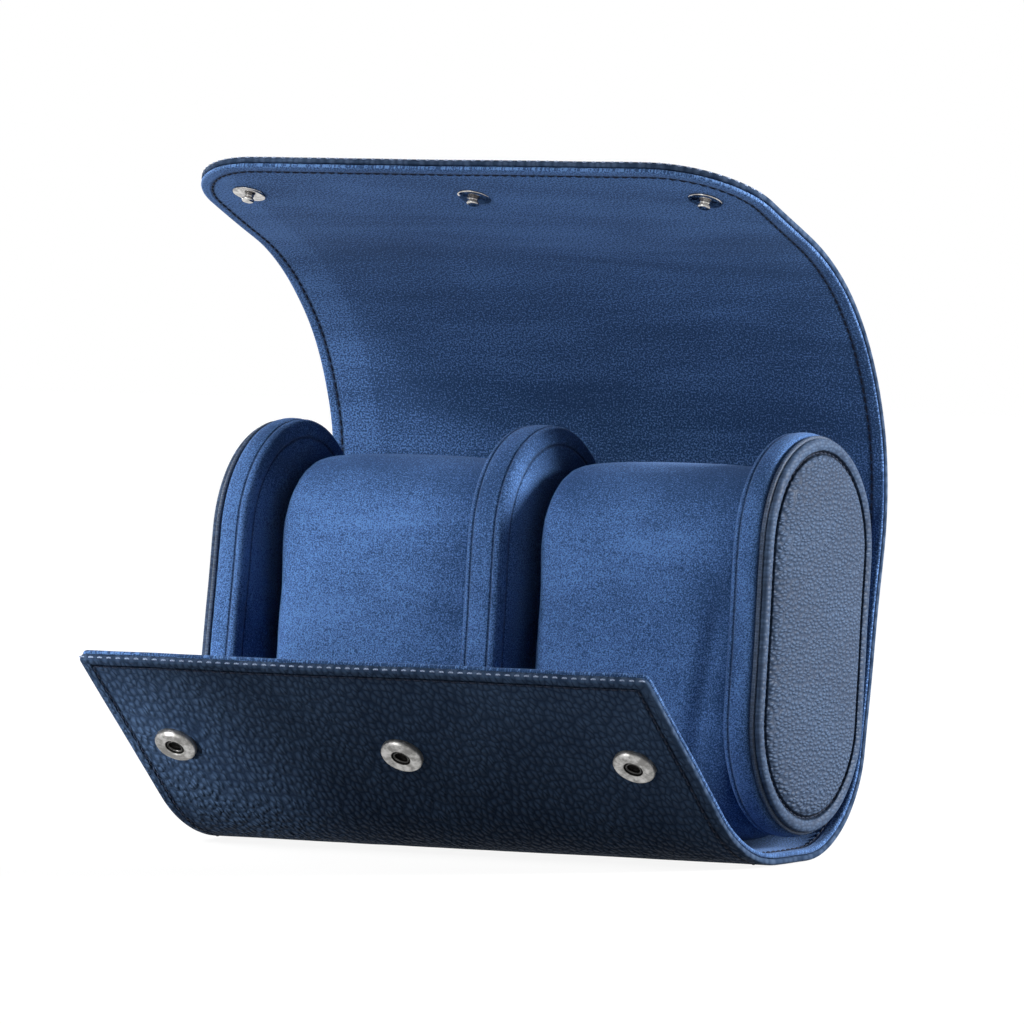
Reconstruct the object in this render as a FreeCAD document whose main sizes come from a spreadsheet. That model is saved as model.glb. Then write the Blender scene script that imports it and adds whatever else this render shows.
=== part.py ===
"""Open travel roll for two watches: a leather wrap, two end cheeks, a divider, two cushions and press studs.

Millimetres and degrees. +X runs along the roll, -Y is the front, +Z is up, and the origin is the middle
of the flat face that it rests on. The wrap's side profile runs from the flap's tip, under the base, up the
back and over the lid to its tip. A place on it is a length along the outer face and a depth inward.
"""
import FreeCAD, Part
import math
import os

from FreeCAD import Placement, Rotation, Vector

# Driving dimensions, kept in the sheet of the document
SIZES = {
    # wrap: layers and edges
    "wrap_width": 165.0,
    "leather_wall": 1.2,
    "board_wall": 1.0,
    "lining_wall": 0.8,
    "board_inset_width": 2.0,
    # wrap: side profile from the flap's tip to the lid's tip
    "flap_length": 56.95,
    "flap_angle": 42.5,
    "front_bend_radius": 45.0,
    "base_flat_length": 20.33,
    "back_bend_radius": 28.0,
    "back_lean_angle": 11.0,
    "back_length": 57.4,
    "curl_radius": 72.0,
    "curl_angle": 77.5,
    "lid_tail_length": 49.5,
    "lid_corner_radius": 25.0,
    "flap_corner_radius": 2.0,
    # creases where the wrap bends
    "crease_half_gap": 1.0,
    "flap_crease_distance": 5.1,
    "base_crease_distance": 11.3,
    "rear_crease_distance": 6.8,
    "front_crease_distance": 4.5,
    # end cheeks
    "cheek_radius": 29.4,
    "cheek_straight_length": 42.8,
    "cheek_lean_angle": 5.96,
    "cheek_centre_height": 36.2,
    "cheek_seat_depth": 0.6,
    "cheek_width": 10.5,
    "rim_wall": 2.0,
    "facing_wall": 1.0,
    "piping_radius": 1.1,
    "piping_gap": 0.1,
    "pad_edge_height": 1.5,
    "pad_crown_height": 1.5,
    "pad_slope_width": 14.0,
    # divider
    "divider_width": 10.3,
    # cushions
    "cushion_radius": 24.0,
    "cushion_straight_length": 49.5,
    "cushion_gap": 2.2,
    "cushion_seat_gap": 0.3,
    "cushion_edge_length": 5.0,
    "cushion_edge_depth": 4.5,
    "cushion_crown_height": 1.0,
    "cover_wall": 1.2,
    # press studs
    "snap_from_side": 15.6,
    "socket_from_tip": 33.0,
    "stud_from_tip": 17.6,
    "socket_radius": 5.6,
    "socket_height": 2.3,
    "socket_bevel_width": 0.7,
    "socket_bore_radius": 2.3,
    "spring_wire_radius": 0.2,
    "spring_height": 1.7,
    "rivet_head_radius": 4.4,
    "rivet_shank_radius": 1.4,
    "rivet_flare_radius": 2.0,
    "rivet_flare_height": 0.4,
    "rivet_hole_gap": 0.1,
    "stud_flange_radius": 4.5,
    "stud_flange_height": 0.7,
    "stud_neck_radius": 1.1,
    "stud_neck_height": 0.6,
    "stud_ball_radius": 1.7,
    "stud_ball_height": 1.2,
}
# Places of the two creases on the lid's curl, as shares of its length
CURL_CREASE_SHARES = (0.272, 0.611)
# A cushion's rounded end: share of the edge length, and share of the edge drop there
CUSHION_EDGE_SHARES = ((0.0, 1.0), (0.2, 0.5), (0.55, 0.17), (1.0, 0.0))
# A cheek pad's crown: share of the crown's height, and share of its slope there
PAD_CROWN_SHARES = ((0.0, 0.0), (0.6, 0.28), (1.0, 1.0))
SNAPS = 3

doc = FreeCAD.newDocument("watch_roll")
sheet = doc.addObject("Spreadsheet::Sheet", "sizes")
for row, (alias, value) in enumerate(SIZES.items(), start=1):
    sheet.set(f"A{row}", alias)
    sheet.set(f"B{row}", str(value))
    sheet.setAlias(f"B{row}", alias)
doc.recompute()
size = {alias: float(sheet.get(alias)) for alias in SIZES}
parts = []


# Document helpers

def cell(alias):
    """The expression that reads one cell of the sheet."""
    return f"<<sizes>>.{alias}"


def new_body(label):
    """A body that becomes one node."""
    body = doc.addObject("PartDesign::Body", label)
    body.Label = label
    parts.append(body)
    return body


def new_sketch(body, name, role, geometry, offset=None):
    """A sketch on one of the body's own planes, lifted off it by an expression."""
    sketch = body.newObject("Sketcher::SketchObject", name)
    plane = next(item for item in body.Origin.OriginFeatures if item.Role == role)
    sketch.AttachmentSupport = [(plane, "")]
    sketch.MapMode = "FlatFace"
    if offset is not None:
        sketch.setExpression("AttachmentOffset.Base.z", offset)
    sketch.addGeometry(geometry, False)
    return sketch


def pad(body, geometry, role, length):
    """A padded outline whose length is an expression."""
    sketch = new_sketch(body, f"{body.Name}_outline", role, geometry)
    feature = body.newObject("PartDesign::Pad", f"{body.Name}_pad")
    feature.Profile = sketch
    feature.setExpression("Length", length)


def loft(body, kind, name, sections):
    """A ruled loft through outlines across the roll, each with its own place along X."""
    sketches = [
        new_sketch(body, f"{name}_{index}", "YZ_Plane", geometry, offset)
        for index, (geometry, offset) in enumerate(sections)
    ]
    feature = body.newObject(f"PartDesign::{kind}", name)
    feature.Profile = sketches[0]
    feature.Sections = sketches[1:]
    feature.Ruled = True


def revolve_row(label, outlines, turn, place):
    """A row of like turned pieces along X: half sections about the upright axis, then a pattern."""
    body = new_body(label)
    sketch = new_sketch(body, f"{label}_section", "XZ_Plane", outlines)
    turned = body.newObject("PartDesign::Revolution", f"{label}_turned")
    turned.Profile = sketch
    turned.ReferenceAxis = (sketch, ["V_Axis"])
    doc.recompute()
    row = body.newObject("PartDesign::LinearPattern", f"{label}_row")
    row.Originals = [turned]
    row.Direction = (sketch, ["H_Axis"])
    row.setExpression("Length", f"{cell('wrap_width')} - 2 * {cell('snap_from_side')}")
    row.Occurrences = SNAPS
    body.Tip = row
    body.Placement = Placement(place, Rotation(Vector(1, 0, 0), turn))
    return body


# Outlines

def line(start, end):
    return Part.LineSegment(Vector(*start, 0), Vector(*end, 0))


def arc(centre, radius, first, last):
    """A counterclockwise arc between two angles."""
    circle = Part.Circle(Vector(*centre, 0), Vector(0, 0, 1), radius)
    return Part.ArcOfCircle(circle, math.radians(first), math.radians(last))


def polygon(points):
    """Straight sides through the points, closed."""
    return [line(start, end) for start, end in zip(points, points[1:] + points[:1])]


def polar(centre, radius, angle):
    turn = math.radians(angle)
    return (centre[0] + radius * math.cos(turn), centre[1] + radius * math.sin(turn))


# Side profile of the wrap

snap_pitch = (size["wrap_width"] - 2 * size["snap_from_side"]) / (SNAPS - 1)
wall = size["leather_wall"] + size["board_wall"] + size["lining_wall"]
board_depth = size["leather_wall"]
lining_depth = size["leather_wall"] + size["board_wall"]
back_heading = 90 - size["back_lean_angle"]
# The origin is the middle of the base's own flat, behind the base crease
flat_back = (size["base_flat_length"] - size["base_crease_distance"] - size["crease_half_gap"]) / 2


def wrap_runs():
    """Runs of the outer face in order: start, heading, length and radius, which is 0 on a straight."""
    bend_centre = (flat_back - size["base_flat_length"], size["front_bend_radius"])
    bend_start = polar(bend_centre, size["front_bend_radius"], -size["flap_angle"] - 90)
    start = polar(bend_start, size["flap_length"], 180 - size["flap_angle"])
    shapes = (
        (size["flap_length"], 0, 0),
        (0, size["front_bend_radius"], size["flap_angle"]),
        (size["base_flat_length"], 0, 0),
        (0, size["back_bend_radius"], back_heading),
        (size["back_length"], 0, 0),
        (0, size["curl_radius"], size["curl_angle"]),
        (size["lid_tail_length"], 0, 0),
    )
    heading = -size["flap_angle"]
    runs = []
    for length, radius, turn in shapes:
        if radius:
            length = radius * math.radians(turn)
        runs.append((start, heading, length, radius))
        start = run_point(runs[-1], length, 0)
        heading += turn
    return runs


def run_point(run, along, depth):
    """A point of one run, at a length along it and a depth inward."""
    start, heading, _, radius = run
    if not radius:
        return polar(polar(start, along, heading), depth, heading + 90)
    centre = polar(start, radius, heading + 90)
    return polar(centre, radius - depth, heading - 90 + math.degrees(along / radius))


runs = wrap_runs()
run_starts = [sum(run[2] for run in runs[:index]) for index in range(len(runs) + 1)]
flap_end, bend_end, base_end, back_start, curl_start, curl_end, lid_end = run_starts[1:]


def wrap_point(along, depth):
    """A point of the whole profile, and the heading there."""
    for run, first in zip(runs, run_starts):
        if along <= first + run[2]:
            break
    turned = math.degrees((along - first) / run[3]) if run[3] else 0
    return run_point(run, along - first, depth), run[1] + turned


def wrap_band(first, last, outer, inner):
    """The closed outline of one layer between two lengths and two depths."""
    faces = {outer: [], inner: []}
    for depth, edges in faces.items():
        for run, begin in zip(runs, run_starts):
            low = max(first, begin) - begin
            high = min(last, begin + run[2]) - begin
            if high <= low:
                continue
            if not run[3]:
                edges.append(line(run_point(run, low, depth), run_point(run, high, depth)))
                continue
            centre = polar(run[0], run[3], run[1] + 90)
            angles = [run[1] - 90 + math.degrees(value / run[3]) for value in (low, high)]
            edges.append(arc(centre, run[3] - depth, *angles))
    ends = [line(wrap_point(end, outer)[0], wrap_point(end, inner)[0]) for end in (first, last)]
    return faces[outer] + faces[inner] + ends


# Creases in order along the profile
flap_crease = flap_end - size["flap_crease_distance"]
base_crease = bend_end + size["base_crease_distance"]
rear_crease = curl_start - size["rear_crease_distance"]
curl_creases = [curl_start + share * (curl_end - curl_start) for share in CURL_CREASE_SHARES]
front_crease = curl_end + size["front_crease_distance"]
creases = {
    "flap_crease": flap_crease,
    "base_crease": base_crease,
    "lid_rear_crease": rear_crease,
    "lid_upper_crease": curl_creases[0],
    "lid_top_crease": curl_creases[1],
    "lid_front_crease": front_crease,
}
crease_axes = {name: wrap_point(along, size["leather_wall"] / 2)[0] for name, along in creases.items()}
LAYERS = (
    ("leather", 0, "leather_wall", None),
    ("board", board_depth, "board_wall", "board_inset_width"),
    ("lining", lining_depth, "lining_wall", None),
)


def layer_width(inset):
    """The width of a wrap layer across the roll, as an expression."""
    return cell("wrap_width") + (f" - 2 * {cell(inset)}" if inset else "")


def make_curved_panel(name, first, last):
    """Leather, board and lining of one curved stretch of the wrap."""
    gap = size["crease_half_gap"]
    for layer, depth, thickness, inset in LAYERS:
        body = new_body(f"{name}_{layer}")
        outline = wrap_band(first + gap, last - gap, depth, depth + size[thickness])
        pad(body, outline, "YZ_Plane", layer_width(inset))
        body.setExpression("Placement.Base.x", f"-({layer_width(inset)}) / 2")


def flat_outline(width, length, corner, tip_first):
    """A rectangle with its two tip corners rounded, the tip at y 0 or at the far end."""
    half = width / 2
    if tip_first:
        return [
            line((-half, length), (-half, corner)),
            arc((corner - half, corner), corner, 180, 270),
            line((corner - half, 0), (half - corner, 0)),
            arc((half - corner, corner), corner, 270, 360),
            line((half, corner), (half, length)),
            line((half, length), (-half, length)),
        ]
    turn = length - corner
    return [
        line((half, 0), (half, turn)),
        arc((half - corner, turn), corner, 0, 90),
        line((half - corner, length), (corner - half, length)),
        arc((corner - half, turn), corner, 90, 180),
        line((-half, turn), (-half, 0)),
        line((-half, 0), (half, 0)),
    ]


def make_flat_panel(name, first, last, corner, tip_first, snap_along, holes):
    """Leather, board and lining of the flap or the lid's front, with the rivet holes of its press studs."""
    for layer, depth, thickness, inset_name in LAYERS:
        inset = size[inset_name] if inset_name else 0
        body = new_body(f"{name}_{layer}")
        length = last - first - inset
        width = size["wrap_width"] - 2 * inset
        outline = flat_outline(width, length, corner - inset if corner > inset else corner, tip_first)
        start = first + (inset if tip_first else 0)
        if layer in holes:
            for index in range(SNAPS):
                centre = ((index - (SNAPS - 1) / 2) * snap_pitch, snap_along - start)
                outline.append(Part.Circle(Vector(*centre, 0), Vector(0, 0, 1), holes[layer]))
        pad(body, outline, "XY_Plane", cell(thickness))
        (y, z), heading = wrap_point(start, depth)
        body.Placement = Placement(Vector(0, y, z), Rotation(Vector(1, 0, 0), heading))


def make_crease(name):
    """The rolled leather on a crease's axis."""
    rod = doc.addObject("Part::Cylinder", name)
    rod.Label = name
    rod.setExpression("Radius", f"{cell('leather_wall')} / 2")
    rod.setExpression("Height", cell("wrap_width"))
    y, z = crease_axes[name]
    rod.Placement = Placement(Vector(-size["wrap_width"] / 2, y, z), Rotation(Vector(0, 1, 0), 90))
    parts.append(rod)


# Outlines of the cheeks, divider and cushions, which lean back together

lean = size["cheek_lean_angle"]
back_foot = run_point(runs[4], 0, wall)
seat_normal = -size["back_lean_angle"]


def seat_reach(point):
    """How far a point lies in front of the lining of the back."""
    turn = math.radians(seat_normal)
    return (back_foot[0] - point[0]) * math.cos(turn) + (back_foot[1] - point[1]) * math.sin(turn)


# The lower centre is set so that the rim is pressed flat against the back's lining by cheek_seat
on_axis = (0, size["cheek_centre_height"])
cheek_back = seat_reach(on_axis) - size["cheek_radius"] + size["cheek_seat_depth"]
cheek_back /= math.cos(math.radians(seat_normal))
cheek_low = (cheek_back, size["cheek_centre_height"])
cheek_high = polar(cheek_low, size["cheek_straight_length"], 90 - lean)


def stadium(low, high, radius, seat=0):
    """Two straight sides and two half rounds, each round as two arcs; seat cuts a flat at the back."""
    back_low = polar(low, radius, -lean)
    back_high = polar(high, radius, -lean)
    last = 360 - lean
    edges = []
    if seat:
        half_angle = math.degrees(math.acos((radius - seat) / radius))
        last = 360 + seat_normal - half_angle
        tilt = math.radians(size["back_lean_angle"] - lean)
        climb = (seat - radius * (1 - math.cos(tilt))) / math.sin(tilt)
        seat_top = polar(back_low, climb, 90 - lean)
        edges.append(line(polar(low, radius, last), seat_top))
        back_low = seat_top
    return edges + [
        line(back_low, back_high),
        arc(high, radius, -lean, 90 - lean),
        arc(high, radius, 90 - lean, 180 - lean),
        line(polar(high, radius, 180 - lean), polar(low, radius, 180 - lean)),
        arc(low, radius, 180 - lean, 270 - lean),
        arc(low, radius, 270 - lean, last),
    ]


def cheek_outline(inset, seat=0):
    return stadium(cheek_low, cheek_high, size["cheek_radius"] - inset, seat)


def make_plate(label, outline, low, thickness):
    """A plate across the roll: low is its lower X and thickness its length, both expressions."""
    body = new_body(label)
    pad(body, outline, "YZ_Plane", thickness)
    body.setExpression("Placement.Base.x", low)


def make_piping(label, centre):
    """A round welt along the cheek's outer edge, on a path of straights and quarter arcs."""
    piping_inset = size["cheek_seat_depth"] + size["piping_radius"]
    path = Part.Wire(Part.__sortEdges__([edge.toShape() for edge in cheek_outline(piping_inset)]))
    begin = path.OrderedVertexes[0].Point
    tangent = path.OrderedEdges[0].tangentAt(path.OrderedEdges[0].FirstParameter)
    section = Part.Wire([Part.makeCircle(size["piping_radius"], begin, tangent)])
    piping = doc.addObject("Part::Feature", label)
    piping.Label = label
    piping.Shape = path.makePipeShell([section], True, False)
    # the path is drawn flat, so its x is the roll's Y and its y is the roll's Z
    piping.Placement = Placement(Vector(centre, 0, 0), Rotation(Vector(1, 1, 1), 120))
    parts.append(piping)


def make_cheek(name, side):
    """One end cheek, from its inner facing out to its piping and padded leather face."""
    rim = f"({cell('cheek_width')} - 2 * {cell('piping_radius')})"
    outer = f"({cell('wrap_width')} / 2 - 2 * {cell('piping_radius')})"
    inner = f"({cell('wrap_width')} / 2 - {cell('cheek_width')})"
    facing = cell("facing_wall")
    band = cheek_outline(0, size["cheek_seat_depth"]) + cheek_outline(size["rim_wall"])
    inset = cheek_outline(size["rim_wall"])
    right = side > 0
    make_plate(f"{name}_rim", band, inner if right else f"-{outer}", rim)
    make_plate(f"{name}_core", inset, f"{inner} + {facing}" if right else f"-{outer}", f"{rim} - {facing}")
    make_plate(f"{name}_facing", inset, inner if right else f"-{inner} - {facing}", facing)
    make_piping(f"{name}_piping", side * (size["wrap_width"] / 2 - size["piping_radius"]))
    face = new_body(f"{name}_pad")
    edge = size["cheek_seat_depth"] + 2 * size["piping_radius"] + size["piping_gap"]
    sections = [(cheek_outline(edge), f"{side} * {outer}")]
    for rise, slope in PAD_CROWN_SHARES:
        height = f"{side} * ({outer} + {cell('pad_edge_height')} + {rise} * {cell('pad_crown_height')})"
        sections.append((cheek_outline(edge + slope * size["pad_slope_width"]), height))
    loft(face, "AdditiveLoft", f"{name}_pad_loft", sections)


def make_divider():
    """The middle divider: a core between two facings, with a band round its rim."""
    width = cell("divider_width")
    facing = cell("facing_wall")
    inset = cheek_outline(size["rim_wall"])
    band = cheek_outline(0, size["cheek_seat_depth"]) + inset
    make_plate("divider_rim", band, f"-{width} / 2", width)
    make_plate("divider_core", inset, f"-{width} / 2 + {facing}", f"{width} - 2 * {facing}")
    make_plate("divider_facing_left", inset, f"-{width} / 2", facing)
    make_plate("divider_facing_right", inset, f"{width} / 2 - {facing}", facing)


bay_width = size["wrap_width"] / 2 - size["cheek_width"] - size["divider_width"] / 2
cushion_width = bay_width - 2 * size["cushion_gap"]
cushion_middle = size["divider_width"] / 2 + bay_width / 2
cushion_low = (flat_back, wall + size["cushion_seat_gap"] + size["cushion_radius"])
cushion_high = polar(cushion_low, size["cushion_straight_length"], 90 - lean)


def cushion_sections(inset):
    """Outlines along a cushion: rounded ends, a soft crown at the middle, all moved in by inset."""
    length, depth = size["cushion_edge_length"], size["cushion_edge_depth"]
    edge = [
        (along * length, drop * depth + size["cushion_crown_height"])
        for along, drop in CUSHION_EDGE_SHARES
    ]
    half = cushion_width / 2 - inset
    places = [(along - half, drop) for along, drop in edge] + [(0, 0)]
    places += [(half - along, drop) for along, drop in reversed(edge)]
    return [
        (stadium(cushion_low, cushion_high, size["cushion_radius"] - inset - drop), str(along))
        for along, drop in places
    ]


def make_cushion(name, side):
    """A watch cushion: a foam core in a sewn cover."""
    cover = new_body(f"{name}_cover")
    loft(cover, "AdditiveLoft", f"{name}_cover_outside", cushion_sections(0))
    loft(cover, "SubtractiveLoft", f"{name}_cover_inside", cushion_sections(size["cover_wall"]))
    core = new_body(f"{name}_core")
    loft(core, "AdditiveLoft", f"{name}_core_loft", cushion_sections(size["cover_wall"]))
    for body in (cover, core):
        body.Placement = Placement(Vector(side * cushion_middle, 0, 0), Rotation())


# Press studs: sockets on the flap's outer face, studs on the lining of the lid's front

def make_sockets(along):
    """Ring sockets with their ring springs, each riveted through the flap's leather from behind."""
    (y, z), heading = wrap_point(along, 0)
    place = Vector(-snap_pitch, y, z)
    turn = heading + 180
    bore, radius = size["socket_bore_radius"], size["socket_radius"]
    height, bevel = size["socket_height"], size["socket_bevel_width"]
    ring = [(bore, 0), (radius, 0), (radius, height - bevel), (radius - bevel, height)]
    ring += [(bore + bevel, height), (bore, height - bevel)]
    revolve_row("snap_sockets", polygon(ring), turn, place)
    wire = size["spring_wire_radius"]
    coil = Part.Circle(Vector(bore - wire, size["spring_height"], 0), Vector(0, 0, 1), wire)
    revolve_row("snap_socket_springs", [coil], turn, place)
    head, shank, flare = size["rivet_head_radius"], size["rivet_shank_radius"], size["rivet_flare_radius"]
    rivet = [(0, -lining_depth), (head, -lining_depth), (head, -board_depth), (shank, -board_depth)]
    rivet += [(shank, 0), (flare, 0), (flare, size["rivet_flare_height"]), (0, size["rivet_flare_height"])]
    revolve_row("snap_socket_rivets", polygon(rivet), turn, place)


def make_studs(along):
    """Studs with a flange, a neck and a ball, each riveted through the lid's lining from behind."""
    (y, z), heading = wrap_point(along, wall)
    place = Vector(-snap_pitch, y, z)
    neck, ball = size["stud_neck_radius"], size["stud_ball_radius"]
    base = size["stud_flange_height"]
    waist = base + size["stud_neck_height"]
    top = waist + size["stud_ball_height"]
    swell = ball - neck
    stud = [(0, 0), (size["stud_flange_radius"], 0), (size["stud_flange_radius"], base / 2)]
    stud += [(neck + swell, base), (neck, base), (neck, waist), (ball, waist + swell)]
    stud += [(ball, top - swell), (neck, top), (0, top)]
    revolve_row("snap_studs", polygon(stud), heading, place)
    head, shank = size["rivet_head_radius"], size["rivet_shank_radius"]
    under, seat = board_depth - wall, lining_depth - wall
    rivet = [(0, under), (head, under), (head, seat), (shank, seat), (shank, 0), (0, 0)]
    revolve_row("snap_stud_rivets", polygon(rivet), heading, place)


# Assembly, from the wrap inwards

gap = size["crease_half_gap"]
socket_along = size["socket_from_tip"]
stud_along = lid_end - size["stud_from_tip"]
shank_hole = size["rivet_shank_radius"] + size["rivet_hole_gap"]
head_hole = size["rivet_head_radius"] + size["rivet_hole_gap"]
make_flat_panel("flap", 0, flap_crease - gap, size["flap_corner_radius"], True, socket_along,
                {"leather": shank_hole, "board": head_hole})
make_curved_panel("flap_lower", flap_crease, base_crease)
make_curved_panel("base", base_crease, rear_crease)
make_curved_panel("lid_rear", rear_crease, curl_creases[0])
make_curved_panel("lid_upper", curl_creases[0], curl_creases[1])
make_curved_panel("lid_top", curl_creases[1], front_crease)
make_flat_panel("lid_front", front_crease + gap, lid_end, size["lid_corner_radius"], False, stud_along,
                {"lining": shank_hole, "board": head_hole})
for crease in creases:
    make_crease(crease)
make_cheek("cheek_left", -1)
make_cheek("cheek_right", 1)
make_divider()
make_cushion("cushion_left", -1)
make_cushion("cushion_right", 1)
make_sockets(socket_along)
make_studs(stud_along)

doc.recompute()
for item in doc.Objects:
    if "Invalid" in item.State or "Error" in item.State:
        raise RuntimeError(f"{item.Label} failed: {item.State}")
for part in parts:
    if part.Shape.isNull() or not part.Shape.isValid():
        raise RuntimeError(f"{part.Label} has no valid shape")

os.makedirs("parts", exist_ok=True)
for part in parts:
    part.Shape.exportStep(f"parts/{part.Label}.step")
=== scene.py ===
import math
import bpy
import bmesh
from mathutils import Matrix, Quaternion, Vector, noise


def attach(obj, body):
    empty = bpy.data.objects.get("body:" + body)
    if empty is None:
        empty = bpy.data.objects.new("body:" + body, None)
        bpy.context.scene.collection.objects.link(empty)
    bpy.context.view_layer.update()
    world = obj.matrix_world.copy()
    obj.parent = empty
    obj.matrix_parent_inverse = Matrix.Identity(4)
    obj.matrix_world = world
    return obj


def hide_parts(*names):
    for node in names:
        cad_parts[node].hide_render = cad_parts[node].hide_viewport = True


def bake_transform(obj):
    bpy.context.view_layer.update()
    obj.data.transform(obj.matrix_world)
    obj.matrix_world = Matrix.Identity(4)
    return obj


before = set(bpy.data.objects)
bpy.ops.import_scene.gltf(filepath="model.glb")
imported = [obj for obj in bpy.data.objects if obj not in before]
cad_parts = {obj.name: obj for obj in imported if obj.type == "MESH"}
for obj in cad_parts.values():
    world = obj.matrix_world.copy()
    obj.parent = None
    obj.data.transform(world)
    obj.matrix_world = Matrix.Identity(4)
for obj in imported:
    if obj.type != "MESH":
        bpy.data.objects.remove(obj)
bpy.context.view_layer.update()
scene = bpy.context.scene
scene.view_settings.view_transform = "Standard"

# Camera
# The roll was photographed with a long lens, almost level with the table and from the right of its front.
aim, camera_distance, camera_roll = Vector((0.00492, -0.0175, 0.08755)), 2.394, math.radians(0.5)
sensor, focal_pixels, picture_pixels = 36, 9300, 1024


def way_out(turn, rise):
    """The way out from the roll: degrees round from its front to the right, and degrees up."""
    turn, rise = math.radians(turn), math.radians(rise)
    return Vector((math.sin(turn) * math.cos(rise), -math.cos(turn) * math.cos(rise), math.sin(rise)))


away = way_out(29, 2.59)
camera = bpy.data.objects.new("camera", bpy.data.cameras.new("camera"))
scene.collection.objects.link(camera)
camera.data.sensor_width = sensor
camera.data.lens = focal_pixels / picture_pixels * sensor
camera.location = aim + away * camera_distance
camera.rotation_mode = "QUATERNION"
camera.rotation_quaternion = (-away).to_track_quat("-Z", "Y") @ Quaternion((0, 0, 1), camera_roll)
camera.data.clip_end = 20
scene.camera = camera

# Outer leather of the wrap
# One strip of pebbled navy cowhide, from the flap's tip under the base, up the back and over the lid.
# It is glued to thin boards, rolled at its edges and sewn through to the lining 3.4 mm in from the edge.
wrap_width = 0.165
flap_length, flap_rise, front_radius = 0.05695, math.radians(42.5), 0.045
base_front, base_length, back_radius = -0.016315, 0.01621, 0.033
back_length, back_turn = 0.05328, math.radians(79)
curl_radius, curl_turn, tail_length = 0.072, math.radians(77.5), 0.0495
flap_corner, lid_corner = 0.0022, 0.025
wrap_thickness = 0.003
leather_dark, leather_light = (0.012, 0.023, 0.048, 1), (0.044, 0.076, 0.138, 1)
# the crease and seam colours are painted shade in the creases and the sewn groove; the rubbed colour is wear
crease_shade_colour, seam_shade_colour, rubbed_colour = (0.006, 0.011, 0.024, 1), (0.003, 0.005, 0.012, 1), (0.075, 0.10, 0.155, 1)
thread_colour, tick_colour = (0.006, 0.010, 0.022, 1), (0.16, 0.20, 0.29, 1)
stitch_inset, stitch_pitch, stitch_length, thread_radius = 0.0034, 0.0027, 0.0021, 0.00026
row_pitch, end_row, flap_steps, lid_steps = 0.0011, 0.0003, 8, 24
edge_pitch, edge_columns, middle_columns, far_in = 0.0008, 13, 17, 0.1

wrap_runs = ((flap_length, 0), (front_radius * flap_rise, front_radius), (base_length, 0),
             (back_radius * back_turn, back_radius), (back_length, 0), (curl_radius * curl_turn, curl_radius),
             (tail_length, 0))
wrap_length = sum(length for length, _ in wrap_runs)


def wrap_point(along, depth):
    """Where the wrap is, seen from its side: metres from the flap's tip, and depth in from the leather's face."""
    y = base_front - front_radius * math.sin(flap_rise) - flap_length * math.cos(flap_rise)
    z = front_radius * (1 - math.cos(flap_rise)) + flap_length * math.sin(flap_rise)
    heading = -flap_rise
    for place, (length, radius) in enumerate(wrap_runs):
        part = along if place == len(wrap_runs) - 1 else min(along, length)
        if radius:
            turned = heading + part / radius
            y += radius * (math.sin(turned) - math.sin(heading))
            z += radius * (math.cos(heading) - math.cos(turned))
            heading = turned
        else:
            y += part * math.cos(heading)
            z += part * math.sin(heading)
        along -= part
        if along <= 0:
            break
    return y - depth * math.sin(heading), z + depth * math.cos(heading), heading


def wrap_spot(x, along, depth):
    """A point of the wrap, with the slight waviness of leather over board."""
    ripple = 0.00022 * noise.noise(Vector((x * 22, along * 30, 0)))
    ripple += 0.00008 * noise.noise(Vector((x * 90, along * 90, 4)))
    drift = 0.00018 * noise.noise(Vector((3 if x > 0 else 7, along * 45, 1)))
    y, z, _ = wrap_point(along, depth + ripple)
    return Vector((x + drift * abs(x) / wrap_width * 2, y, z))


def edge_distance(x, along):
    """How far a point of the wrap lies in from its edge."""
    side, tip, flap = wrap_width / 2 - abs(x), wrap_length - along, along
    if side < lid_corner and tip < lid_corner:
        return lid_corner - math.hypot(lid_corner - side, lid_corner - tip)
    return min(side, tip, flap)


def strip_rows(start, end, inset):
    """Rows across the wrap: metres along, half width, and which way its edge faces there, across and along."""
    half, rows, begin, finish = wrap_width / 2, [], start, end
    if start == 0:
        begin = flap_corner
        for step in range(flap_steps):
            a = math.radians(90 - step * 90 / flap_steps)
            rows.append((flap_corner - (flap_corner - inset) * math.sin(a),
                         half - flap_corner + (flap_corner - inset) * math.cos(a), math.cos(a), -math.sin(a)))
    if end == wrap_length:
        finish = end - lid_corner
    count = math.ceil((finish - begin) / row_pitch)
    places = {round(begin + (finish - begin) * k / count, 6) for k in range(count + 1)}
    places |= {round(begin + end_row, 6), round(finish - end_row, 6)}
    rows += [(place, half - inset, 1, 0) for place in sorted(places)]
    if end == wrap_length:
        for step in range(1, lid_steps + 1):
            a = math.radians(step * 90 / lid_steps)
            rows.append((finish + (lid_corner - inset) * math.sin(a),
                         half - lid_corner + (lid_corner - inset) * math.cos(a), math.cos(a), math.sin(a)))
    return rows


near_edge = [k * edge_pitch / (wrap_width / 2) for k in range(edge_columns)]
to_middle = [near_edge[-1] + (1 - near_edge[-1]) * k / middle_columns for k in range(1, middle_columns + 1)]
column_shares = [d - 1 for d in near_edge + to_middle] + [1 - d for d in (near_edge + to_middle)[-2::-1]]


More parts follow.
